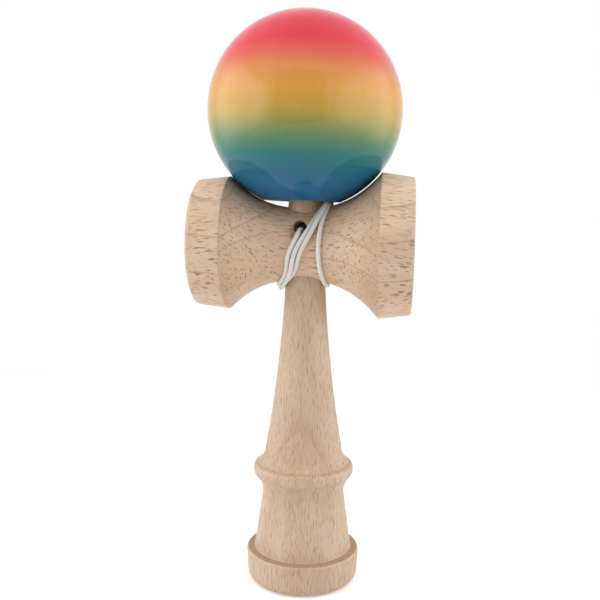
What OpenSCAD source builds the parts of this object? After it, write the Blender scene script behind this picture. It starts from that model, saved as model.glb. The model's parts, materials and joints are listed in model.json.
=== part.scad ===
// Kendama: a turned wooden handle with a spike, a cross-piece with two cups pressed
// onto it, and a lacquered ball that sits on the spike and is tied on with a string.
// Lengths are millimetres, angles are degrees. The origin is the middle of the base
// rim, +Z runs up the handle and +X runs along the cross-piece to its big cup.

/* [Handle] */
// Diameter of the base ring at its upper edge
base_d = 36.5; // [34:0.1:40]
// Diameter of the base ring at its foot, before the foot is rounded
base_foot_d = 35.4; // [33:0.1:38]
// Height of the base ring's upper edge
base_h = 10.2; // [8:0.1:12]
// Rounding of the base ring's foot
base_foot_round = 3; // [1.5:0.1:3.4]
// Rounding of the base ring's upper edge
base_edge_round = 0.8; // [0.3:0.1:1.4]
// Width of the base rim round the hollow in the base
base_lip_w = 4.7; // [4.2:0.1:6]
// Depth of the hollow in the base
base_dish_depth = 5.4; // [4.6:0.1:7]
// Diameter of the stem where it stands on the base ring
stem_foot_d = 31.3; // [29:0.1:33]
// Diameter of the stem just below the collar
stem_top_d = 25.6; // [23:0.1:27.5]
// Height of the stem above the base ring
stem_h = 21; // [16:0.1:26]
// Diameter of the collar
collar_d = 32.3; // [30.5:0.1:35]
// Height of the slope under the collar
collar_under_h = 3.6; // [3.2:0.1:5]
// Height of the collar between its corners
collar_h = 2.7; // [2.4:0.1:4]
// Height of the slope on top of the collar
collar_over_h = 1.9; // [1.6:0.1:3]
// Diameter of the shaft where it rises from the collar
shaft_foot_d = 26; // [24:0.1:27.5]
// Diameter that the shaft's flare bends toward, half way up
shaft_waist_d = 15.2; // [14:0.1:17]
// Diameter of the neck where it enters the cross-piece
neck_low_d = 12.6; // [12:0.1:13.4]
// Diameter of the neck where it leaves the cross-piece
neck_high_d = 11.4; // [10.6:0.1:11.8]
// Diameter of the spike's tip before it is rounded
spike_tip_d = 5.8; // [5:0.1:7]
// Rounding of the spike's tip
spike_tip_round = 2; // [1.2:0.1:2]

/* [Cross-piece] */
// Height of the cross-piece's axis
cross_z = 109; // [100:0.1:120]
// Place of the waist along X, measured from the handle's axis
cross_shift = -0.8; // [-1.5:0.1:1.5]
// Lean of the cross-piece on the neck, toward the big cup
cross_lean = 0.5; // [0:0.1:0.8]
// Diameter of the waist
waist_d = 22.9; // [21:0.1:24]
// Power of the curve by which both flanks flare from the waist
flank_power = 2.5; // [2:0.1:3]
// Distance from the waist to the big cup's shoulder
big_shoulder_x = 24.3; // [22:0.1:26]
// Diameter of the big cup's shoulder
big_shoulder_d = 45.6; // [44:0.1:48]
// Distance from the waist to the big cup's rim
big_rim_x = 34.3; // [32:0.1:37]
// Diameter of the big cup at its rim
big_rim_d = 42.9; // [42:0.1:44]
// Width of the big cup's rim
big_lip_w = 1.9; // [1.4:0.1:3]
// Depth of the big cup's hollow
big_dish_depth = 8.5; // [6.5:0.1:10]
// Rounding of the big cup's outer lip
big_lip_round = 0.7; // [0.3:0.1:1]
// Distance from the waist to the small cup's shoulder
small_shoulder_x = 23.2; // [21:0.1:25]
// Diameter of the small cup's shoulder
small_shoulder_d = 42; // [40:0.1:44]
// Distance from the waist to the small cup's rim
small_rim_x = 33.5; // [31:0.1:36]
// Diameter of the small cup at its rim
small_rim_d = 39.8; // [39:0.1:41]
// Width of the small cup's rim
small_lip_w = 2.3; // [1.8:0.1:3.4]
// Depth of the small cup's hollow
small_dish_depth = 7.5; // [6:0.1:9]
// Rounding of the small cup's outer lip
small_lip_round = 1.3; // [0.5:0.1:1.4]
// Rounding of both shoulders
shoulder_round = 0.4; // [0.2:0.1:0.8]
// Gap between the neck and its socket in the cross-piece
socket_clearance = 0.03; // [0:0.01:0.1]

/* [Ball] */
// Diameter of the ball
ball_d = 60.6; // [59:0.1:61]
// Lean of the ball on the spike, toward the big cup at its top
ball_lean = 1.3; // [0:0.1:3]
// Place of the ball along X on the tip of the spike
ball_shift = -0.4; // [-0.6:0.1:0.6]
// Gap between the ball and the nearer shoulder of the cross-piece
ball_gap = 0.3; // [0.3:0.05:1]
// Height of the spike's tip above the ball's centre
tip_rise = 14.2; // [13.2:0.1:15]
// Diameter of the spike hole
ball_bore_d = 23.2; // [22.2:0.1:24.2]
// Height of the end of the spike hole above the ball's centre
ball_bore_rise = 12.5; // [11:0.1:13.1]
// Bevel round the mouth of the spike hole
ball_mouth_bevel = 0.6; // [0.2:0.1:1]
// Diameter of the string hole in the top of the ball
ball_string_hole_d = 3.2; // [2.8:0.1:3.8]
// Countersink round the string hole
ball_string_bevel = 1; // [0.8:0.1:1.4]

/* [Bead] */
// Diameter of the bead inside the ball
bead_d = 8; // [7:0.1:9]
// Height of the bead between its flat ends
bead_h = 5.6; // [5:0.1:6.2]
// Diameter of the bead's hole
bead_hole_d = 2.2; // [2:0.1:2.6]
// Gap between the bead and its pocket, and between the bead and the spike's tip
bead_gap = 0.3; // [0.2:0.05:0.4]

/* [String] */
// Diameter of the string
string_d = 1.4; // [1.2:0.1:1.5]
// Gap between neighbouring turns of the string
turn_gap = 0.65; // [0.6:0.05:0.8]
// Gap between the string and the wood that it lies on
string_seat_gap = 0.25; // [0.2:0.05:0.4]
// Height of the string hole above the cross-piece's axis
string_hole_rise = 5.4; // [4:0.1:6]
// Diameter of the string hole in the cross-piece
string_hole_d = 4.2; // [3.8:0.1:4.6]
// Countersink round the string hole
string_hole_bevel = 0.9; // [0.6:0.1:1.2]
// Diameter of the string hole in the neck
neck_hole_d = 3; // [2.8:0.1:3.4]
// Diameter of both knots
knot_d = 4; // [3.8:0.1:4.2]
// Length of both knots
knot_h = 2.6; // [2.2:0.1:2.8]
// How far the last strand bows toward the handle's axis
strand_bow = 2.7; // [2:0.1:3]

/* [Hidden] */
$fn = 96;
overrun = 1;

// Slope of the ledge between base ring and stem
ledge_rise = 0.4;
// Roundings along the handle, from the ledge up
ledge_cove_round = 0.5;
stem_cove_round = 7.8;
collar_low_round = 2.3;
collar_high_round = 1.6;
shaft_cove_round = 5.5;
// Where the flare leaves the straight foot of the shaft
flare_start_share = 0.06;
flare_steps = 20;
flank_steps = 24;
round_steps = 8;
// Most of an edge that one rounding may take
round_limit_share = 0.76;

waist_r = waist_d / 2;
ball_r = ball_d / 2;
neck_low_z = cross_z - waist_r;
neck_high_z = cross_z + waist_r;
neck_taper = (neck_low_d - neck_high_d) / 2 / waist_d;
stem_foot_z = base_h + ledge_rise;
stem_top_z = stem_foot_z + stem_h;
collar_low_z = stem_top_z + collar_under_h;
collar_high_z = collar_low_z + collar_h;
shaft_foot_z = collar_high_z + collar_over_h;

// The ball's own frame has its origin at the ball's centre and leans about the tip of the spike,
// which holds the ball just clear of both shoulders
ball_x = ball_shift - tip_rise * sin(ball_lean);
function rest_height(shoulder_x, shoulder_d) =
    let (x = cross_shift + shoulder_x * cos(cross_lean) + shoulder_d / 2 * sin(cross_lean))
    let (rise = shoulder_d / 2 * cos(cross_lean) - shoulder_x * sin(cross_lean))
    rise + sqrt(pow(ball_r + ball_gap, 2) - pow(x - ball_x, 2));
ball_rise = max(rest_height(big_shoulder_x, big_shoulder_d),
                rest_height(-small_shoulder_x, small_shoulder_d));
handle_h = cross_z + ball_rise + tip_rise * cos(ball_lean);
bead_low = tip_rise + bead_gap;
bead_high = bead_low + bead_h;
pocket_d = bead_d + 2 * bead_gap;
knot_gap = 0.3;
knot_round = 0.6;
bead_knot_high = bead_low + knot_h;

string_r = string_d / 2;
pitch = string_d + turn_gap;
string_hole_z = cross_z + string_hole_rise;
// The string lies low in its hole, and its knot fills a pocket in the back of the neck
string_run_z = string_hole_z - (neck_hole_d - string_d) / 2 + string_seat_gap;
knot_inset = 0.9;

// Shared curves
function unit(v) = v / norm(v);
function mix(a, b, t) = a + (b - a) * t;
function bezier(a, b, c, t) = mix(mix(a, b, t), mix(b, c, t), t);

// Arc that rounds corner b, given as [x, y, radius], of the outline a, b, c
function round_corner(a, b, c) =
    let (p = [b[0], b[1]])
    let (u = unit([a[0], a[1]] - p))
    let (v = unit([c[0], c[1]] - p))
    let (half = acos(max(-1, min(1, u * v))) / 2)
    let (edge = min(norm([a[0], a[1]] - p), norm([c[0], c[1]] - p)))
    let (r = min(b[2], round_limit_share * edge * tan(half)))
    let (centre = p + unit(u + v) * r / sin(half))
    let (from = p + u * r / tan(half) - centre)
    let (to = p + v * r / tan(half) - centre)
    [for (i = [0 : round_steps]) centre + r * unit(mix(from, to, i / round_steps))];

// Outline whose points carry a third number, the rounding of that corner
function rounded(path) =
    [for (i = [0 : len(path) - 1])
        let (last = len(path) - 1)
        for (q = i == 0 || i == last || path[i][2] == 0
            ? [[path[i][0], path[i][1]]]
            : round_corner(path[i - 1], path[i], path[i + 1])) q];

// Radius of the sphere that cuts a hollow of a given diameter and depth
function dish_r(d, depth) = (d * d / 4 + depth * depth) / (2 * depth);

// Diameter of the tapered neck, carried on past both of its ends
function neck_d(z) = neck_low_d - 2 * neck_taper * (z - neck_low_z);
knot_front_y = neck_d(string_run_z) / 2 - knot_inset - knot_h;

// Point of the ball's own frame, placed on the spike
function on_spike(p) =
    [ball_shift + cos(ball_lean) * p[0] + sin(ball_lean) * (p[2] - tip_rise),
     p[1],
     handle_h - sin(ball_lean) * p[0] + cos(ball_lean) * (p[2] - tip_rise)];

// Handle
function flare(t) =
    bezier([shaft_foot_d / 2, shaft_foot_z],
           [shaft_waist_d / 2, (shaft_foot_z + neck_low_z) / 2],
           [neck_low_d / 2, neck_low_z], t);

function flare_path() =
    [for (i = [0 : flare_steps])
        concat(flare(mix(flare_start_share, 1, i / flare_steps)), 0)];

function handle_path() = rounded(concat(
    [[0, 0, 0],
     [base_foot_d / 2, 0, base_foot_round],
     [base_d / 2, base_h, base_edge_round],
     [stem_foot_d / 2, stem_foot_z, ledge_cove_round],
     [stem_top_d / 2, stem_top_z, stem_cove_round],
     [collar_d / 2, collar_low_z, collar_low_round],
     [collar_d / 2, collar_high_z, collar_high_round],
     [shaft_foot_d / 2, shaft_foot_z, shaft_cove_round]],
    flare_path(),
    [[neck_high_d / 2, neck_high_z, 0],
     [spike_tip_d / 2, handle_h, spike_tip_round],
     [0, handle_h, 0]]));

module ken() {
    base_dish_r = dish_r(base_foot_d - 2 * base_lip_w, base_dish_depth);
    color("burlywood")
    difference() {
        rotate_extrude() polygon(handle_path());
        translate([0, 0, base_dish_depth - base_dish_r]) sphere(base_dish_r);
        translate([cross_shift, 0, string_hole_z]) rotate([90, 0, 0])
            cylinder(d = neck_hole_d, h = neck_low_d + overrun, center = true);
        translate([cross_shift, knot_front_y, string_run_z]) rotate([-90, 0, 0])
            cylinder(d = knot_d + 2 * knot_gap, h = neck_low_d);
    }
}

// Cross-piece
function flank(side, shoulder_x, shoulder_d) =
    [for (i = [1 : flank_steps])
        let (t = i / flank_steps)
        [mix(waist_r, shoulder_d / 2, pow(t, flank_power)), side * shoulder_x * t,
         i == flank_steps ? shoulder_round : 0]];

function reversed(list) = [for (i = [len(list) - 1 : -1 : 0]) list[i]];

function cross_path() = rounded(concat(
    [[0, -small_rim_x, 0],
     [small_rim_d / 2, -small_rim_x, small_lip_round]],
    reversed(flank(-1, small_shoulder_x, small_shoulder_d)),
    [[waist_r, 0, 0]],
    flank(1, big_shoulder_x, big_shoulder_d),
    [[big_rim_d / 2, big_rim_x, big_lip_round],
     [0, big_rim_x, 0]]));

module sarado() {
    big_dish_r = dish_r(big_rim_d - 2 * big_lip_w, big_dish_depth);
    small_dish_r = dish_r(small_rim_d - 2 * small_lip_w, small_dish_depth);
    string_mouth_y = sqrt(pow(waist_r, 2) - pow(string_hole_rise, 2));
    socket_reach = big_shoulder_d / 2;
    color("wheat")
    difference() {
        translate([cross_shift, 0, cross_z]) rotate([0, 90 + cross_lean, 0]) difference() {
            rotate_extrude() polygon(cross_path());
            translate([0, 0, big_rim_x - big_dish_depth + big_dish_r]) sphere(big_dish_r);
            translate([0, 0, small_dish_depth - small_rim_x - small_dish_r]) sphere(small_dish_r);
        }
        translate([0, 0, cross_z - socket_reach])
            cylinder(d1 = neck_d(cross_z - socket_reach) + 2 * socket_clearance,
                     d2 = neck_d(cross_z + socket_reach) + 2 * socket_clearance,
                     h = 2 * socket_reach);
        translate([cross_shift, 0, string_hole_z]) rotate([90, 0, 0])
            cylinder(d = string_hole_d, h = waist_d);
        translate([cross_shift, string_hole_bevel - string_mouth_y, string_hole_z]) rotate([90, 0, 0])
            cylinder(d1 = string_hole_d, d2 = string_hole_d + 2 * waist_r, h = waist_r);
    }
}

// Ball and bead, both drawn in the ball's own frame
module on_spike() {
    translate([ball_shift, 0, handle_h]) rotate([0, ball_lean, 0]) translate([0, 0, -tip_rise])
        children();
}

module tama() {
    mouth_r = ball_bore_d / 2 + ball_mouth_bevel;
    mouth_z = -sqrt(pow(ball_r, 2) - pow(mouth_r, 2));
    pocket_high = bead_high + bead_gap;
    color("goldenrod")
    on_spike() difference() {
        sphere(ball_r);
        translate([0, 0, -ball_r]) cylinder(d = ball_bore_d, h = ball_r + ball_bore_rise);
        translate([0, 0, mouth_z + ball_mouth_bevel - ball_r])
            cylinder(r1 = ball_bore_d / 2 + ball_r, r2 = ball_bore_d / 2, h = ball_r);
        cylinder(d = pocket_d, h = pocket_high);
        cylinder(d = ball_string_hole_d, h = ball_d);
        translate([0, 0, ball_r - ball_string_bevel])
            cylinder(r1 = ball_string_hole_d / 2, r2 = ball_string_hole_d / 2 + ball_r, h = ball_r);
    }
}

module bead() {
    color("tan")
    on_spike() difference() {
        intersection() {
            translate([0, 0, (bead_low + bead_high) / 2]) sphere(d = bead_d);
            translate([0, 0, bead_low]) cylinder(d = bead_d + overrun, h = bead_h);
        }
        cylinder(d = bead_hole_d, h = ball_r);
        cylinder(d = knot_d + 2 * knot_gap, h = bead_knot_high);
    }
}

// String
function knot_path() = rounded(
    [[0, 0, 0], [knot_d / 2, 0, knot_round], [knot_d / 2, knot_h, knot_round], [0, knot_h, 0]]);

module knot() {
    rotate_extrude() polygon(knot_path());
}

// Radius of the cross-piece's waist, at x measured from the handle's axis
function waist_at(x) =
    let (shoulder_x = x > cross_shift ? big_shoulder_x : small_shoulder_x)
    let (shoulder_d = x > cross_shift ? big_shoulder_d : small_shoulder_d)
    mix(waist_r, shoulder_d / 2, pow(abs(x - cross_shift) / shoulder_x, flank_power));

// Point of a strand at a turn of a degrees about the cross-piece: 0 is on top, 90 in front
function strand_point(x, lift, a) =
    let (r = waist_at(x) + string_seat_gap + string_r + lift)
    [x, -r * sin(a), cross_z + r * cos(a)];

// Three strands pass left of the neck below the cross-piece and right of it above, nested in
// two layers; across the front the middle one rolls from beneath its neighbour to over it.
nest_angle = 60;
layer_rise = pitch * sin(nest_angle);
lane = pitch * cos(nest_angle);
top_lane_x = neck_high_d / 2 + string_seat_gap + string_r;
low_lane_x = -(neck_low_d / 2 + string_seat_gap + string_r);
pair_top_x = top_lane_x + lane / 2;
pair_low_x = low_lane_x - lane / 2;
roll_softness_share = 0.1;

function swing(top_x, low_x, a) = (top_x + low_x) / 2 + (top_x - low_x) / 2 * cos(a);
function roll(a) = nest_angle * cos(a);
function roll_over(a) = sqrt(pow(sin(roll(a)), 2) + pow(roll_softness_share, 2));
// Strands that cross the waist at a slant stand further apart along X
function slant(a) = norm([1, (pair_top_x - pair_low_x) / 2 * sin(a) / waist_r]);

function first_strand(a) =
    strand_point(swing(pair_top_x, pair_low_x, a) - 3 / 2 * pitch * cos(roll(a)) * slant(a), 0, a);

// side is -1 for the left strand of the pair across the front and 1 for the right strand
function pair_strand(side, a) =
    strand_point(swing(pair_top_x, pair_low_x, a) + side * pitch / 2 * cos(roll(a)) * slant(a),
                 pitch / 2 * (roll_over(a) + side * sin(roll(a))), a);

// turn is -1, 0 or 1; the middle strand up the back lies in the upper layer
function back_strand(turn, a) =
    strand_point(swing(top_lane_x + lane, low_lane_x - lane, a) + turn * lane * slant(a),
                 turn == 0 ? layer_rise : 0, a);

function last_strand(a) =
    strand_point(swing(top_lane_x + 2 * lane, -low_lane_x, a) - strand_bow * pow(sin(a), 3), 0, a);

// The winding leaves the back of the cross-piece along a line that also touches the ball
rings_per_turn = 24;
ring_angle = 360 / rings_per_turn;
leave_angle = 240;
leave_x = 5;
first_angle = 90;
function leave_strand(a) =
    strand_point(swing(leave_x, -low_lane_x, 180 + (a - 180) * 180 / (leave_angle - 180)), 0, a);
leave_point = leave_strand(leave_angle);
leave_direction = [0, -cos(leave_angle), -sin(leave_angle)];
winding_end = leave_point + 2 * string_d * leave_direction;

// The string runs out of its hole and bends over the lip
lip_steps = 5;
run_steps = 6;
lip_bend = 2 * string_d;
lip_end = first_strand(first_angle);
lip_corner = [cross_shift, lip_end[1], string_run_z];
run_start = [cross_shift, knot_front_y, string_run_z];
run_end = lip_corner + [0, lip_bend, 0];

winding_points = concat(
    [for (i = [0 : run_steps - 1]) mix(run_start, run_end, i / run_steps)],
    [for (i = [0 : lip_steps - 1]) bezier(run_end, lip_corner, lip_end, i / lip_steps)],
    [for (a = [first_angle : ring_angle : 180]) first_strand(a)],
    [for (a = [180 + ring_angle : ring_angle : 360]) back_strand(-1, a)],
    [for (a = [ring_angle : ring_angle : 180]) pair_strand(-1, a)],
    [for (a = [180 + ring_angle : ring_angle : 360]) back_strand(0, a)],
    [for (a = [ring_angle : ring_angle : 180]) pair_strand(1, a)],
    [for (a = [180 + ring_angle : ring_angle : 360]) back_strand(1, a)],
    [for (a = [ring_angle : ring_angle : 180]) last_strand(a)],
    [for (a = [180 + ring_angle : ring_angle : leave_angle]) leave_strand(a)],
    [leave_point + string_d * leave_direction, winding_end]);

// Up the back of the ball, over its top and down its string hole, from the ball's centre
over_ball_route = [
    [5.6, 27.8, -14.1], [6, 30.8, -3], [5.5, 29.8, 8.1], [5, 25.2, 18.2], [3.5, 17.7, 25.8],
    [2, 9.6, 29.8], [1, 5, 31], [0.5, 2.5, 31.2], [0, 0.7, 30.3], [0, 0, 28.3], [0, 0, 25]];
// Between the back of the cross-piece and the back of the ball
tail_route = [[5, 17.5, 116], [5, 22.5, 126]];

// Gap between the stretch that follows the ball and the one below it
string_joint_gap = 0.05;
route_steps = 4;
// Smooth curve through every point of a route
function smooth(p) =
    [for (i = [0 : len(p) - 2])
        let (before = p[max(i - 1, 0)])
        let (after = p[min(i + 2, len(p) - 1)])
        let (out = p[i] + (p[i + 1] - before) / 6)
        let (in = p[i + 1] - (after - p[i]) / 6)
        for (k = [0 : route_steps - 1])
            let (t = k / route_steps)
            mix(bezier(p[i], out, in, t), bezier(out, in, p[i + 1], t), t),
     p[len(p) - 1]];

over_ball_points = [for (p = concat(smooth(over_ball_route), [[0, 0, bead_knot_high]])) on_spike(p)];
over_ball_direction = unit(over_ball_points[1] - over_ball_points[0]);
tail_end = over_ball_points[0] - string_joint_gap * over_ball_direction;
tail_points = concat(
    [winding_end],
    smooth(concat([winding_end + string_d * leave_direction], tail_route,
                  [tail_end - string_d * over_ball_direction])),
    [tail_end]);

winding_sides = 6;
cord_sides = 8;
gap_rings = 6;
// Round tube along a route that never runs along X
module tube(points, sides) {
    last = len(points) - 1;
    rings = [for (i = [0 : last])
        let (along = unit(points[min(i + 1, last)] - points[max(i - 1, 0)]))
        let (across = unit(cross(along, [1, 0, 0])))
        let (beside = cross(along, across))
        for (k = [0 : sides - 1])
            points[i] + string_r * (cos(k * 360 / sides) * across + sin(k * 360 / sides) * beside)];
    walls = [for (i = [0 : last - 1], k = [0 : sides - 1])
        let (a = i * sides + k)
        let (b = i * sides + (k + 1) % sides)
        for (face = [[a, a + sides, b + sides], [a, b + sides, b]]) face];
    ends = [for (k = [1 : sides - 2])
        for (face = [[0, k, k + 1], [last * sides, last * sides + k + 1, last * sides + k]]) face];
    polyhedron(rings, concat(walls, ends));
}

// Least gap between stretches of a tube that are more than a given number of rings apart
function least_gap(points, apart) =
    min([for (i = [0 : len(points) - 1 - apart], j = [i + apart : len(points) - 1])
        norm(points[i] - points[j])]) - string_d;
echo(least_gap_of_winding = least_gap(winding_points, gap_rings));

function route_length(points) =
    let (steps = [for (i = [1 : len(points) - 1]) norm(points[i] - points[i - 1])])
    steps * [for (s = steps) 1];
echo(string_length = route_length(winding_points) + route_length(tail_points)
     + route_length(over_ball_points));

module string_knot() {
    color("ivory")
    translate([cross_shift, knot_front_y, string_run_z]) rotate([-90, 0, 0]) knot();
}

module string_winding() {
    color("ivory") tube(winding_points, winding_sides);
}

module string_tail() {
    color("ivory") tube(tail_points, cord_sides);
}

module string_over_ball() {
    color("ivory") tube(over_ball_points, cord_sides);
}

module string_bead_knot() {
    color("ivory")
    on_spike() translate([0, 0, bead_knot_high - knot_h]) knot();
}

ken();
sarado();
tama();
bead();
string_knot();
string_winding();
string_tail();
string_over_ball();
string_bead_knot();
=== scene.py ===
"""Kendama: a turned beech handle and cross-piece, a lacquered ball on the spike, and its string."""

import json
import math

import bpy
import numpy as np
from mathutils import Matrix, Vector


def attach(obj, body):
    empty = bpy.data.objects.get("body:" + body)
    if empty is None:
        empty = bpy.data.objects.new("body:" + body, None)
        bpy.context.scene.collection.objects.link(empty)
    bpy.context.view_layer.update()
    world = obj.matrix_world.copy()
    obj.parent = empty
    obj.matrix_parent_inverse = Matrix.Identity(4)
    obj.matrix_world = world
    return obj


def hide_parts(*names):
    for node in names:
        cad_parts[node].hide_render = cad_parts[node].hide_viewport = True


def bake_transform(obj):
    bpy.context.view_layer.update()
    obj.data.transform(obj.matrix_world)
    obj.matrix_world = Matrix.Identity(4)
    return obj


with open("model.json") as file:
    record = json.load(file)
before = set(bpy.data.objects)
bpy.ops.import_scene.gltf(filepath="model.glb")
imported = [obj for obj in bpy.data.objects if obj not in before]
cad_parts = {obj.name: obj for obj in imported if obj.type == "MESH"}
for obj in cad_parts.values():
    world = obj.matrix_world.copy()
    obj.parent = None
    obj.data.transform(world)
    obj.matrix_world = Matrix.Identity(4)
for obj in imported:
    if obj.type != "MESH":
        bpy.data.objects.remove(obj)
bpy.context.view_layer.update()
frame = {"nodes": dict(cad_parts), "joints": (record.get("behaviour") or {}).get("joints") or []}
nodes = frame["nodes"]

MM = 0.001

# Camera, in a picture of 600 x 600 pixels
PICTURE_PX = 600
FOCAL_PX = 755
SENSOR_MM = 36
CAMERA_DISTANCE = 240 * MM
CAMERA_HEIGHT = 116.45 * MM
CAMERA_AZIMUTH = math.radians(6.17)
CAMERA_PAN = math.radians(0.4)
CAMERA_PITCH = math.radians(6)
CAMERA_ROLL = math.radians(0.6)


def make_camera():
    heading = CAMERA_AZIMUTH + CAMERA_PAN
    level = math.cos(CAMERA_PITCH)
    forward = Vector((-math.sin(heading) * level, math.cos(heading) * level, -math.sin(CAMERA_PITCH)))
    side = Vector((math.cos(heading), math.sin(heading), 0))
    above = side.cross(forward)
    right = side * math.cos(CAMERA_ROLL) + above * math.sin(CAMERA_ROLL)
    up = above * math.cos(CAMERA_ROLL) - side * math.sin(CAMERA_ROLL)
    data = bpy.data.cameras.new("camera")
    data.sensor_width = SENSOR_MM
    data.lens = SENSOR_MM * FOCAL_PX / PICTURE_PX
    camera = bpy.data.objects.new("camera", data)
    place = Matrix((right, up, -forward)).transposed().to_4x4()
    place.translation = (CAMERA_DISTANCE * math.sin(CAMERA_AZIMUTH),
                         -CAMERA_DISTANCE * math.cos(CAMERA_AZIMUTH), CAMERA_HEIGHT)
    camera.matrix_world = place
    bpy.context.scene.collection.objects.link(camera)
    bpy.context.scene.camera = camera


make_camera()

# Handle and cross-piece, in millimetres: what the string passes through and lies on
CROSS_Z = 109
CROSS_SHIFT = -0.8
WAIST_R = 11.45
FLANK_POWER = 2.5
BIG_SHOULDER = (24.3, 22.8)
SMALL_SHOULDER = (23.2, 21)
NECK_LOW_R = 6.3
NECK_HIGH_R = 5.7
RUN_Z = 113.85

# Knots, in millimetres, with their turns, and the rings and sides of their tube
KNOT_Y = 2.37
KNOT_H = 2.6
KNOT_R = 2
KNOT_CORE = 2.5
KNOT_TURNS = 2
KNOT_STRING_R = 0.6
KNOT_RINGS = 64
KNOT_SIDES = 14

# String round the cross-piece, in millimetres, with FIRST_LANE in pitches
STRING_D = 1.4
STRING_R = STRING_D / 2
SEAT_GAP = 0.05
PITCH = 1.46
NEST_ANGLE = math.radians(60)
ROLL_SOFTNESS = 0.1
FIRST_LANE = 1.5
STRAND_BOW = 2.4
BOW_POWER = 1.5
STRAND_TUCK = 1.8
LIP_DROP = 0.5
LIP_RUN = 2 * STRING_D
LEAVE_ANGLE = 240
LEAVE_X = 5
LEAVE_RUN = 2 * STRING_D

# String: degrees from point to point of a turn, and points in each stretch of the rest
TURN_STEP = 3
RUN_STEPS = 24
LIP_STEPS = 12
CURVE_STEPS = 12

# String over the ball, measured from the ball's centre, and up to the ball, measured from the base
OVER_BALL_ROUTE = [
    (5.6, 27.8, -14.1), (6, 30.8, -3), (5.5, 29.8, 8.1), (5, 25.2, 18.2), (3.5, 17.7, 25.8),
    (2, 9.6, 29.8), (1, 5, 31), (0.5, 2.5, 31.2), (0, 0.7, 30.3), (0, 0, 28.3), (0, 0, 25)]
TAIL_ROUTE = [(5, 17.5, 116), (5, 22.5, 126)]
TIP_RISE = 14.2
BEAD_KNOT_RISE = 17.1

spin = next(joint for joint in frame["joints"] if joint["name"] == "tama_spin")
SPIKE_TIP = np.array(spin["pos_m"]) / MM
BALL_UP = np.array(spin["axis"])
BALL_RIGHT = np.array((BALL_UP[2], 0, -BALL_UP[0]))
BALL_CENTRE = SPIKE_TIP - TIP_RISE * BALL_UP


def on_ball(point):
    return BALL_CENTRE + point[0] * BALL_RIGHT + np.array((0, point[1], 0)) + point[2] * BALL_UP


def waist_at(x):
    shoulder_x, shoulder_r = BIG_SHOULDER if x > CROSS_SHIFT else SMALL_SHOULDER
    return WAIST_R + (shoulder_r - WAIST_R) * (abs(x - CROSS_SHIFT) / shoulder_x) ** FLANK_POWER


def strand_point(x, lift, a):
    """Point of a strand at a turn of a radians about the cross-piece: 0 is on top, pi/2 in front."""
    r = waist_at(x) + SEAT_GAP + STRING_R + lift
    return np.array((x, -r * math.sin(a), CROSS_Z + r * math.cos(a)))


LANE = PITCH * math.cos(NEST_ANGLE)
LAYER_RISE = PITCH * math.sin(NEST_ANGLE)
TOP_LANE_X = NECK_HIGH_R + SEAT_GAP + STRING_R
LOW_LANE_X = -(NECK_LOW_R + SEAT_GAP + STRING_R)
PAIR_TOP_X = TOP_LANE_X + LANE / 2
PAIR_LOW_X = LOW_LANE_X - LANE / 2


def swing(top_x, low_x, a):
    return (top_x + low_x) / 2 + (top_x - low_x) / 2 * math.cos(a)


def roll(a):
    return NEST_ANGLE * math.cos(a)


def slant(a):
    return math.hypot(1, (PAIR_TOP_X - PAIR_LOW_X) / 2 * math.sin(a) / WAIST_R)


def tuck(a):
    """How far the strands in front draw in toward the handle, low on the waist."""
    return STRAND_TUCK * math.sin(2 * a) ** 2 if a > math.pi / 2 else 0


def first_strand(a):
    beside = FIRST_LANE * PITCH * math.cos(roll(a)) * slant(a)
    return strand_point(swing(PAIR_TOP_X, PAIR_LOW_X, a) - beside + tuck(a), 0, a)


def pair_strand(side, a):
    x = swing(PAIR_TOP_X, PAIR_LOW_X, a) + side * PITCH / 2 * math.cos(roll(a)) * slant(a) + tuck(a)
    over = math.hypot(math.sin(roll(a)), ROLL_SOFTNESS)
    return strand_point(x, PITCH / 2 * (over + side * math.sin(roll(a))), a)


def back_strand(turn, a):
    x = swing(TOP_LANE_X + LANE, LOW_LANE_X - LANE, a) + turn * LANE * slant(a)
    return strand_point(x, 0 if turn else LAYER_RISE, a)


def last_strand(a):
    x = swing(TOP_LANE_X + 2 * LANE, -LOW_LANE_X, a) - STRAND_BOW * math.sin(a) ** BOW_POWER
    return strand_point(x, 0, a)


def leave_strand(a):
    share = (a - math.pi) / (math.radians(LEAVE_ANGLE) - math.pi)
    return strand_point(swing(LEAVE_X, -LOW_LANE_X, math.pi * (1 + share)), 0, a)


def turn_from(strand, start, end, **settings):
    return [strand(a=math.radians(d), **settings) for d in range(start, end, TURN_STEP)]


def bezier(a, b, c, t):
    return (1 - t) ** 2 * a + 2 * t * (1 - t) * b + t * t * c


def through(points):
    """Smooth curve through every point, each pulled along a sixth of the chord beside it."""
    route = [np.array(point, float) for point in points]
    last = len(route) - 1
    curve = []
    for i in range(last):
        start, end = route[i], route[i + 1]
        pull_a = start + (end - route[max(i - 1, 0)]) / 6
        pull_b = end - (route[min(i + 2, last)] - start) / 6
        for k in range(CURVE_STEPS):
            t = k / CURVE_STEPS
            near = bezier(start, pull_a, pull_b, t)
            far = bezier(pull_a, pull_b, end, t)
            curve.append((1 - t) * near + t * far)
    return curve + [route[last]]


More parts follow.
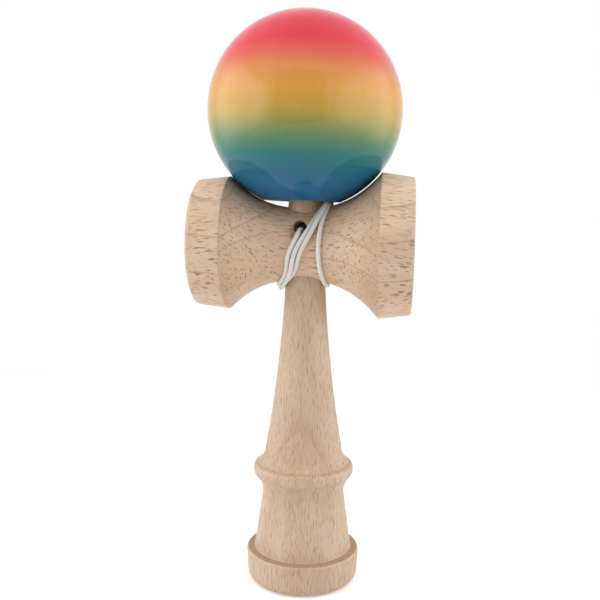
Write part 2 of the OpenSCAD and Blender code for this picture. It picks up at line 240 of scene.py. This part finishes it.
def winding_route():
    lip_end = first_strand(math.pi / 2)
    lip_corner = np.array((CROSS_SHIFT, lip_end[1], RUN_Z - LIP_DROP))
    run_start = np.array((CROSS_SHIFT, KNOT_Y + KNOT_CORE, RUN_Z))
    run_end = lip_corner + np.array((0, LIP_RUN, LIP_DROP))
    run = [run_start + (run_end - run_start) * i / RUN_STEPS for i in range(RUN_STEPS)]
    lip = [bezier(run_end, lip_corner, lip_end, i / LIP_STEPS) for i in range(LIP_STEPS)]
    return (run + lip
            + turn_from(first_strand, 90, 180)
            + turn_from(back_strand, 180, 360, turn=-1)
            + turn_from(pair_strand, 0, 180, side=-1)
            + turn_from(back_strand, 180, 360, turn=0)
            + turn_from(pair_strand, 0, 180, side=1)
            + turn_from(back_strand, 180, 360, turn=1)
            + turn_from(last_strand, 0, 180)
            + turn_from(leave_strand, 180, LEAVE_ANGLE + 1))


def string_route():
    winding = winding_route()
    leave = math.radians(LEAVE_ANGLE)
    leave_end = winding[-1] + LEAVE_RUN * np.array((0, -math.cos(leave), -math.sin(leave)))
    over_ball = [on_ball(point) for point in OVER_BALL_ROUTE + [(0, 0, BEAD_KNOT_RISE - KNOT_CORE)]]
    return winding + through([leave_end] + TAIL_ROUTE + over_ball)


# Mesh of the string, in millimetres
SAME_POINT = 1e-6
RING_STEP = 0.25
STRING_SIDES = 20
SMOOTH_RINGS = 3
BRAID_STRANDS = 4
BRAID_LAY = 3.2
BRAID_RELIEF = 0.07


def even_path(route, step):
    """Points a step apart along a route, with its small kinks eased."""
    route = np.array(route)
    lengths = np.linalg.norm(np.diff(route, axis=0), axis=1)
    route = route[np.concatenate(([True], lengths > SAME_POINT))]
    along = np.concatenate(([0], np.cumsum(np.linalg.norm(np.diff(route, axis=0), axis=1))))
    count = int(along[-1] / step) + 1
    even = np.linspace(0, along[-1], count)
    path = np.stack([np.interp(even, along, route[:, k]) for k in range(3)], axis=1)
    before, after = path[:1].repeat(SMOOTH_RINGS, 0), path[-1:].repeat(SMOOTH_RINGS, 0)
    padded = np.concatenate((before, path, after))
    window = 2 * SMOOTH_RINGS + 1
    eased = sum(padded[k:k + count] for k in range(window)) / window
    eased[0], eased[-1] = path[0], path[-1]
    return eased


def sweep(name, path, radius, sides):
    """Round tube along a path in millimetres; radius takes an angle and a distance along the path."""
    tangents = np.gradient(path, axis=0)
    tangents /= np.linalg.norm(tangents, axis=1)[:, None]
    across = np.cross(tangents[0], (1, 0, 0))
    along = np.concatenate(([0], np.cumsum(np.linalg.norm(np.diff(path, axis=0), axis=1))))
    angles = np.arange(sides) * 2 * math.pi / sides
    vertices = []
    for centre, tangent, distance in zip(path, tangents, along):
        across = across - tangent * (across @ tangent)
        across /= np.linalg.norm(across)
        beside = np.cross(tangent, across)
        spokes = np.outer(np.cos(angles), across) + np.outer(np.sin(angles), beside)
        vertices.extend((centre + radius(angles, distance)[:, None] * spokes) * MM)
    rings = len(path)
    faces = [(i * sides + k, i * sides + (k + 1) % sides,
              (i + 1) * sides + (k + 1) % sides, (i + 1) * sides + k)
             for i in range(rings - 1) for k in range(sides)]
    faces.append(tuple(reversed(range(sides))))
    faces.append(tuple(range((rings - 1) * sides, rings * sides)))
    mesh = bpy.data.meshes.new(name)
    mesh.from_pydata([tuple(v) for v in vertices], [], faces)
    mesh.shade_smooth()
    piece = bpy.data.objects.new(name, mesh)
    bpy.context.scene.collection.objects.link(piece)
    return piece


def braided(angles, distance):
    """Radius of a round braid, whose strands wind both ways and show as a diamond relief."""
    wind = 2 * math.pi * distance / BRAID_LAY
    turn = BRAID_STRANDS / 2 * angles
    relief = np.abs(np.cos(turn + wind) * np.cos(turn - wind))
    return STRING_R * (1 - BRAID_RELIEF + BRAID_RELIEF * relief)


string_path = even_path(string_route(), RING_STEP)
string = sweep("string", string_path, braided, STRING_SIDES)
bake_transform(string)
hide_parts("string_winding", "string_tail", "string_over_ball")


def make_knot(name, base, axis, body, node):
    """Stopper knot: two turns of string round the straight string."""
    axis = np.array(axis)
    first = np.cross(axis, (1, 0, 0))
    second = np.cross(axis, first)
    turns = np.linspace(0, KNOT_TURNS * 2 * math.pi, KNOT_RINGS)
    rises = np.linspace(KNOT_STRING_R, KNOT_H - KNOT_STRING_R, KNOT_RINGS)
    coil_r = KNOT_R - KNOT_STRING_R
    path = (np.array(base) + np.outer(rises, axis)
            + coil_r * (np.outer(np.cos(turns), first) + np.outer(np.sin(turns), second)))
    piece = sweep(name, path, lambda angles, distance: np.full(len(angles), KNOT_STRING_R), KNOT_SIDES)
    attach(piece, body)
    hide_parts(node)
    return piece


neck_knot = make_knot("neck_knot", (CROSS_SHIFT, KNOT_Y, RUN_Z), (0, 1, 0), "ken", "string_knot")
bead_knot = make_knot("bead_knot", on_ball((0, 0, BEAD_KNOT_RISE - KNOT_H)), BALL_UP, "bead",
                      "string_bead_knot")


class Graph:
    """Shader nodes of one material."""

    def __init__(self, name):
        self.material = bpy.data.materials.new(name)
        self.material.use_nodes = True
        self.tree = self.material.node_tree
        self.shader = self.tree.nodes["Principled BSDF"]
        self.coords = self.tree.nodes.new("ShaderNodeTexCoord")

    def put(self, socket, value):
        if isinstance(value, bpy.types.NodeSocket):
            self.tree.links.new(value, socket)
        else:
            socket.default_value = value

    def node(self, kind, *values, **settings):
        node = self.tree.nodes.new("ShaderNode" + kind)
        for key, value in settings.items():
            setattr(node, key, value)
        for index, value in enumerate(values):
            self.put(node.inputs[index], value)
        return node

    def set(self, **values):
        for key, value in values.items():
            self.put(self.shader.inputs[key.replace("_", " ")], value)

    def math(self, operation, a, b=0.0):
        return self.node("Math", a, b, operation=operation).outputs[0]

    def vector(self, operation, a, b=(0, 0, 0), output="Vector"):
        return self.node("VectorMath", a, b, operation=operation).outputs[output]

    def millimetres(self):
        return self.vector("DIVIDE", self.coords.outputs["Object"], (MM,) * 3)

    def along(self, place, axis):
        return self.vector("DOT_PRODUCT", place, tuple(axis), "Value")

    def noise(self, place, cell, detail=2, output="Fac"):
        """Noise whose lumps have the size of cell, in millimetres along each axis."""
        sized = self.vector("DIVIDE", place, cell)
        node = self.node("TexNoise")
        self.put(node.inputs["Vector"], sized)
        self.put(node.inputs["Scale"], 1)
        self.put(node.inputs["Detail"], detail)
        return node.outputs[output]

    def flecks(self, place, cell, radii, core):
        """One spindle in each cell, whose radius is between two shares of the cell."""
        node = self.node("TexVoronoi")
        self.put(node.inputs["Vector"], self.vector("DIVIDE", place, cell))
        self.put(node.inputs["Scale"], 1)
        chance = self.node("SeparateColor", node.outputs["Color"]).outputs[0]
        reach = self.math("DIVIDE", node.outputs["Distance"], self.spread(chance, 0, 1, *radii))
        return self.math("SUBTRACT", 1, self.smooth(reach, core, 1))

    def spread(self, value, low, high, to_low, to_high):
        return self.node("MapRange", value, low, high, to_low, to_high).outputs[0]

    def smooth(self, value, low, high):
        node = self.node("MapRange", value, low, high, 0.0, 1.0, interpolation_type="SMOOTHSTEP")
        return node.outputs[0]

    def ramp(self, value, stops):
        node = self.node("ValToRGB", value)
        elements = node.color_ramp.elements
        elements.remove(elements[1])
        elements[0].position, elements[0].color = stops[0]
        for position, tone in stops[1:]:
            elements.new(position).color = tone
        return node.outputs["Color"]

    def mix(self, share, a, b):
        """Colour between a and b: of this node, sockets 0, 6 and 7 go in and socket 2 comes out."""
        node = self.node("Mix", data_type="RGBA")
        for index, value in ((0, share), (6, a), (7, b)):
            self.put(node.inputs[index], value)
        return node.outputs[2]

    def tint(self, tone, mask, share, other):
        """Tone that turns to another one by a share of the mask."""
        return self.mix(self.math("MULTIPLY", mask, share), tone, other)

    def bump(self, height, distance):
        node = self.node("Bump")
        self.put(node.inputs["Distance"], distance)
        self.put(node.inputs["Height"], height)
        return node.outputs["Normal"]


def colour(red, green, blue):
    """Linear colour of an sRGB colour given as 0 to 255."""
    shares = (value / 255 for value in (red, green, blue))
    linear = (s / 12.92 if s <= 0.04045 else ((s + 0.055) / 1.055) ** 2.4 for s in shares)
    return (*linear, 1)


# Noise: its mean in each channel, and the range that most of it lies in
NOISE_MEAN = (0.5, 0.5, 0.5)
NOISE_SPAN = (0.3, 0.7)

# Beech, in millimetres: the distance to the heart of the tree, and the size of what shows in the wood
PITH = 60
SWAY_CELL = (5, 5, 10)
SWAY = (0.9, 0.9, 0)
CLOUD_CELL = (5, 8, 30)
RING_CELL = (30, 3, 50)
FIBRE_CELL = (0.25, 1.5, 8)
LATHE_CELL = (60, 60, 0.4)
WOOD_RELIEF = 0.03

# Beech: shares of a year's growth between which each wood rises and falls, and noise where rings show
LATE_RISE = (0.66, 0.88)
LATE_FALL = (0.94, 0.88)
EARLY_RISE = (0.9, 0.95)
EARLY_FALL = (1, 0.95)
RING_SPAN = (0.45, 0.6)

# Beech: flecks as shares of their cell, and how strongly each feature shows in colour and in relief
FLECK_RADII = (0.2, 0.45)
FLECK_CORE = 0.4
SMALL_FLECK = 0.7
SMALL_FLECK_SHARE = 0.55
FLECK_SHARE = 0.85
FIBRE_SPAN = (0.5, 0.8)
FIBRE_SHARE = 0.35
END_SHARE = 0.8
FIBRE_HEIGHT = 0.7
LATHE_HEIGHT = 0.6
FLECK_DEPTH = 0.25
WOOD_ROUGHNESS = (0.42, 0.56)


def beech(name, grain, outward, fleck_cell, ring_width, ring_share, end_facing, tones):
    """Raw turned beech. The fibres run along grain, and the growth rings widen outward."""
    light, dark, fleck, end = tones
    graph = Graph(name)
    place = graph.millimetres()
    aside = np.cross(outward, grain)
    axes = [graph.along(place, axis) for axis in (aside, outward, grain)]
    local = graph.node("CombineXYZ", *axes).outputs[0]
    sway = graph.vector("SUBTRACT", graph.noise(local, SWAY_CELL, output="Color"), NOISE_MEAN)
    swayed = graph.vector("ADD", local, graph.vector("MULTIPLY", sway, SWAY))
    from_pith = graph.vector("ADD", graph.vector("MULTIPLY", swayed, (1, 1, 0)), (0, PITH, 0))
    ring = graph.vector("LENGTH", from_pith, output="Value")
    parts = graph.node("SeparateXYZ", from_pith).outputs
    around = graph.math("MULTIPLY", graph.math("ARCTAN2", parts[0], parts[1]), PITH)
    polar = graph.node("CombineXYZ", around, ring, axes[2]).outputs[0]

    season = graph.math("FRACT", graph.math("DIVIDE", ring, ring_width))
    rings = graph.smooth(graph.noise(polar, RING_CELL), *RING_SPAN)
    ring_strength = graph.math("MULTIPLY", rings, ring_share)
    late = graph.math("MULTIPLY", graph.smooth(season, *LATE_RISE), graph.smooth(season, *LATE_FALL))
    early = graph.math("MULTIPLY", graph.smooth(season, *EARLY_RISE), graph.smooth(season, *EARLY_FALL))
    small_cell = tuple(SMALL_FLECK * size for size in fleck_cell)
    flecks = graph.flecks(polar, fleck_cell, FLECK_RADII, FLECK_CORE)
    small_flecks = graph.flecks(polar, small_cell, FLECK_RADII, FLECK_CORE)
    fibre = graph.noise(polar, FIBRE_CELL, detail=3)
    cloud = graph.noise(polar, CLOUD_CELL)
    facing = graph.math("ABSOLUTE", graph.along(graph.coords.outputs["Normal"], grain))
    lathe = graph.noise(local, LATHE_CELL, detail=1)

    tone = graph.mix(graph.smooth(cloud, *NOISE_SPAN), light, dark)
    tone = graph.tint(tone, graph.smooth(facing, *end_facing), END_SHARE, end)
    tone = graph.tint(tone, late, ring_strength, fleck)
    tone = graph.tint(tone, early, ring_strength, light)
    tone = graph.tint(tone, graph.smooth(fibre, *FIBRE_SPAN), FIBRE_SHARE, fleck)
    tone = graph.tint(tone, small_flecks, SMALL_FLECK_SHARE, fleck)
    tone = graph.tint(tone, flecks, FLECK_SHARE, fleck)
    raised = graph.math("MULTIPLY", fibre, FIBRE_HEIGHT)
    raised = graph.math("ADD", raised, graph.math("MULTIPLY", lathe, LATHE_HEIGHT))
    relief = graph.math("SUBTRACT", raised, graph.math("MULTIPLY", flecks, FLECK_DEPTH))
    graph.set(Base_Color=tone, Roughness=graph.spread(fibre, *NOISE_SPAN, *WOOD_ROUGHNESS),
              Normal=graph.bump(relief, WOOD_RELIEF * MM))
    return graph.material


# Lacquered ball: colours from the bottom of the ball, 0, to its top, 1
BALL_R = 30.3
RAINBOW = [
    (0.06, colour(22, 96, 143)), (0.17, colour(12, 106, 137)), (0.254, colour(20, 121, 118)),
    (0.317, colour(86, 137, 98)), (0.384, colour(153, 155, 80)), (0.448, colour(203, 166, 71)),
    (0.54, colour(225, 164, 72)), (0.64, colour(227, 143, 84)), (0.705, colour(226, 102, 82)),
    (0.775, colour(221, 56, 68)), (0.87, colour(210, 38, 57))]
BARE_WOOD = colour(206, 178, 146)
BALL_FIBRE = colour(120, 70, 50)

# Lacquered ball, in millimetres: the depths that the lacquer fades between, and its drift and fibres
COAT_DEPTH = 0.3
BARE_DEPTH = 0.9
DRIFT = 2
DRIFT_CELL = (13, 13, 13)
BALL_FIBRE_CELL = (0.4, 0.4, 7)
BALL_RELIEF = 0.006

# Lacquered ball: the noise that shows as fibres, how strongly it shows, and the roughness
BALL_FIBRE_SPAN = (0.45, 0.75)
BALL_FIBRE_SHARE = 0.06
BALL_ROUGHNESS = (0.3, 0.42)


def lacquer(name):
    """Clear gloss over colours that fade into each other up the ball; bare wood inside."""
    graph = Graph(name)
    place = graph.vector("SUBTRACT", graph.millimetres(), tuple(BALL_CENTRE))
    drift = graph.math("MULTIPLY", graph.noise(place, DRIFT_CELL), DRIFT)
    height = graph.math("ADD", graph.along(place, BALL_UP), drift)
    fade = graph.ramp(graph.spread(height, DRIFT / 2 - BALL_R, DRIFT / 2 + BALL_R, 0, 1), RAINBOW)
    fibre = graph.noise(place, BALL_FIBRE_CELL, detail=3)
    fade = graph.tint(fade, graph.smooth(fibre, *BALL_FIBRE_SPAN), BALL_FIBRE_SHARE, BALL_FIBRE)
    from_centre = graph.vector("LENGTH", place, output="Value")
    outside = graph.smooth(from_centre, BALL_R - BARE_DEPTH, BALL_R - COAT_DEPTH)
    graph.set(Base_Color=graph.mix(outside, BARE_WOOD, fade),
              Roughness=graph.spread(fibre, *NOISE_SPAN, *BALL_ROUGHNESS),
              Specular_IOR_Level=0, Coat_Weight=outside, Coat_Roughness=0.05, Coat_IOR=1.39,
              Normal=graph.bump(fibre, BALL_RELIEF * MM))
    return graph.material


# Cotton string, in millimetres: the size of its fibres and clouds, and its relief
COTTON_FIBRE_CELL = (0.09, 0.09, 0.09)
COTTON_CLOUD_CELL = (2.5, 2.5, 2.5)
COTTON_RELIEF = 0.05

# Cotton string: its colours, the noise that each shows in, and the roughness
COTTON_SHADE = colour(228, 223, 214)
COTTON_LIGHT = colour(248, 246, 241)
COTTON_WARM = colour(232, 225, 214)
COTTON_FIBRE_SPAN = (0.35, 0.65)
COTTON_CLOUD_SPAN = (0.4, 0.7)
COTTON_WARM_SHARE = 0.3
COTTON_ROUGHNESS = (0.7, 0.85)


def cotton(name):
    graph = Graph(name)
    place = graph.millimetres()
    fibre = graph.noise(place, COTTON_FIBRE_CELL, detail=3)
    cloud = graph.noise(place, COTTON_CLOUD_CELL)
    tone = graph.mix(graph.smooth(fibre, *COTTON_FIBRE_SPAN), COTTON_SHADE, COTTON_LIGHT)
    tone = graph.tint(tone, graph.smooth(cloud, *COTTON_CLOUD_SPAN), COTTON_WARM_SHARE, COTTON_WARM)
    graph.set(Base_Color=tone, Roughness=graph.spread(fibre, *NOISE_SPAN, *COTTON_ROUGHNESS),
              Sheen_Weight=0.15, Normal=graph.bump(fibre, COTTON_RELIEF * MM))
    return graph.material


FLECK = colour(150, 117, 86)
END_GRAIN = colour(163, 130, 101)
CROSS_END_GRAIN = colour(187, 152, 119)
HANDLE_TONES = (colour(214, 187, 160), colour(204, 174, 146), FLECK, END_GRAIN)
CROSS_TONES = (colour(227, 198, 169), colour(218, 186, 155), FLECK, CROSS_END_GRAIN)
BEAD_TONES = (colour(207, 178, 148), colour(186, 154, 122), FLECK, END_GRAIN)

finishes = {
    "ken": beech("handle_beech", grain=(0, 0, 1), outward=(0, -1, 0), fleck_cell=(0.26, 1.3, 5),
                 ring_width=4.2, ring_share=0.2, end_facing=(0.75, 1), tones=HANDLE_TONES),
    "sarado": beech("cross_beech", grain=(1, 0, 0), outward=(0, -0.985, 0.174),
                    fleck_cell=(0.2, 1.7, 4.8), ring_width=3.4, ring_share=0.4, end_facing=(0.5, 0.9),
                    tones=CROSS_TONES),
    "bead": beech("bead_beech", grain=(0, 0, 1), outward=(0, -1, 0), fleck_cell=(0.4, 1, 2),
                  ring_width=2, ring_share=0.3, end_facing=(0.5, 0.9), tones=BEAD_TONES),
    "tama": lacquer("rainbow_lacquer")}
for node, finish in finishes.items():
    for slot in nodes[node].material_slots:
        slot.material = finish

white_cotton = cotton("white_cotton")
for piece in (string, neck_knot, bead_knot):
    piece.data.materials.append(white_cotton)

# Studio: soft walls at both sides, above and faintly in front, and a grey card that only mirrors
WHITE = (1, 1, 1, 1)
BLACK = (0, 0, 0, 1)
WATTS_PER_RADIANCE = 4
WALL_MIDDLE = 0.5
WALL_FADE = 0.3


def soft_wall(name, place, facing, width, height, radiance, mirrored=True):
    """Lamp that is brightest in its middle and fades out towards its edges."""
    data = bpy.data.lights.new(name, "AREA")
    data.shape = "RECTANGLE"
    data.size, data.size_y = width, height
    data.energy = WATTS_PER_RADIANCE * width * height * radiance
    data.use_nodes = True
    tree = data.node_tree
    across = tree.nodes.new("ShaderNodeNewGeometry").outputs["Parametric"]
    sides = tree.nodes.new("ShaderNodeSeparateXYZ")
    tree.links.new(across, sides.inputs[0])
    fades = []
    for side in sides.outputs[:2]:
        fade = tree.nodes.new("ShaderNodeMath")
        fade.operation = "PINGPONG"
        fade.inputs[1].default_value = WALL_MIDDLE
        tree.links.new(side, fade.inputs[0])
        ease = tree.nodes.new("ShaderNodeMapRange")
        ease.interpolation_type = "SMOOTHSTEP"
        ease.inputs["From Max"].default_value = WALL_FADE
        tree.links.new(fade.outputs[0], ease.inputs["Value"])
        fades.append(ease.outputs[0])
    both = tree.nodes.new("ShaderNodeMath")
    both.operation = "MULTIPLY"
    for fade, socket in zip(fades, both.inputs):
        tree.links.new(fade, socket)
    tree.links.new(both.outputs[0], tree.nodes["Emission"].inputs["Strength"])
    lamp = bpy.data.objects.new(name, data)
    turn = Vector(facing).to_track_quat("-Z", "Y").to_matrix().to_4x4()
    lamp.matrix_world = Matrix.Translation(place) @ turn
    lamp.visible_camera = False
    lamp.visible_glossy = mirrored
    bpy.context.scene.collection.objects.link(lamp)


soft_wall("wall_left", (-0.42, -0.2, 0.2), (1, 0, 0), width=0.95, height=0.6, radiance=1.74)
soft_wall("wall_right", (0.42, -0.1, 0.2), (-1, 0, 0), width=0.95, height=0.6, radiance=1.42)
soft_wall("ceiling", (0, -0.08, 0.63), (0, 0, -1), width=0.95, height=1, radiance=2, mirrored=False)
soft_wall("front", (0, -0.6, 0.2), (0, 1, 0), width=0.9, height=0.7, radiance=0.2, mirrored=False)


def seen(tree):
    """1 for rays from the camera, a mirror or glass, and 0 for the light on the object."""
    path = tree.nodes.new("ShaderNodeLightPath").outputs
    share = path["Is Camera Ray"]
    for name in ("Is Glossy Ray", "Is Transmission Ray"):
        larger = tree.nodes.new("ShaderNodeMath")
        larger.operation = "MAXIMUM"
        tree.links.new(share, larger.inputs[0])
        tree.links.new(path[name], larger.inputs[1])
        share = larger.outputs[0]
    return share


WORLD_LIGHT = 0.08
FLOOR_LIGHT = 0.4
FLOOR_SIZE = 0.6
FLOOR_GREY = (0.85, 0.85, 0.85, 1)
CARD_LIGHT = 0.25
CARD_WIDTH = 0.42
CARD_TOP = 0.46
CARD_Y = -0.4


def make_world():
    world = bpy.data.worlds.new("studio")
    world.use_nodes = True
    bpy.context.scene.world = world
    tree = world.node_tree
    background = tree.nodes["Background"]
    background.inputs["Color"].default_value = WHITE
    strength = tree.nodes.new("ShaderNodeMapRange")
    strength.inputs["To Min"].default_value = WORLD_LIGHT
    tree.links.new(seen(tree), strength.inputs["Value"])
    tree.links.new(strength.outputs[0], background.inputs["Strength"])


def make_panel(name, corners, material):
    mesh = bpy.data.meshes.new(name)
    mesh.from_pydata(corners, [], [(0, 1, 2, 3)])
    mesh.materials.append(material)
    panel = bpy.data.objects.new(name, mesh)
    bpy.context.scene.collection.objects.link(panel)
    return panel


def make_floor():
    graph = Graph("white_floor")
    graph.set(Base_Color=FLOOR_GREY, Roughness=0.8, Emission_Color=WHITE,
              Emission_Strength=graph.math("MULTIPLY", seen(graph.tree), FLOOR_LIGHT))
    half = FLOOR_SIZE / 2
    corners = [(-half, -half, 0), (half, -half, 0), (half, half, 0), (-half, half, 0)]
    floor = make_panel("floor", corners, graph.material)


def make_card():
    """Grey card behind the camera, which shows only as a darker field in what shines."""
    graph = Graph("card_grey")
    graph.set(Base_Color=BLACK, Roughness=1, Specular_IOR_Level=0, Emission_Color=WHITE,
              Emission_Strength=CARD_LIGHT)
    half = CARD_WIDTH / 2
    corners = [(-half, CARD_Y, 0), (half, CARD_Y, 0),
               (half, CARD_Y, CARD_TOP), (-half, CARD_Y, CARD_TOP)]
    card = make_panel("grey_card", corners, graph.material)
    for sight in ("camera", "diffuse", "transmission", "volume_scatter", "shadow"):
        setattr(card, "visible_" + sight, False)


make_world()
make_floor()
make_card()
bpy.context.scene.view_settings.view_transform = "Standard"
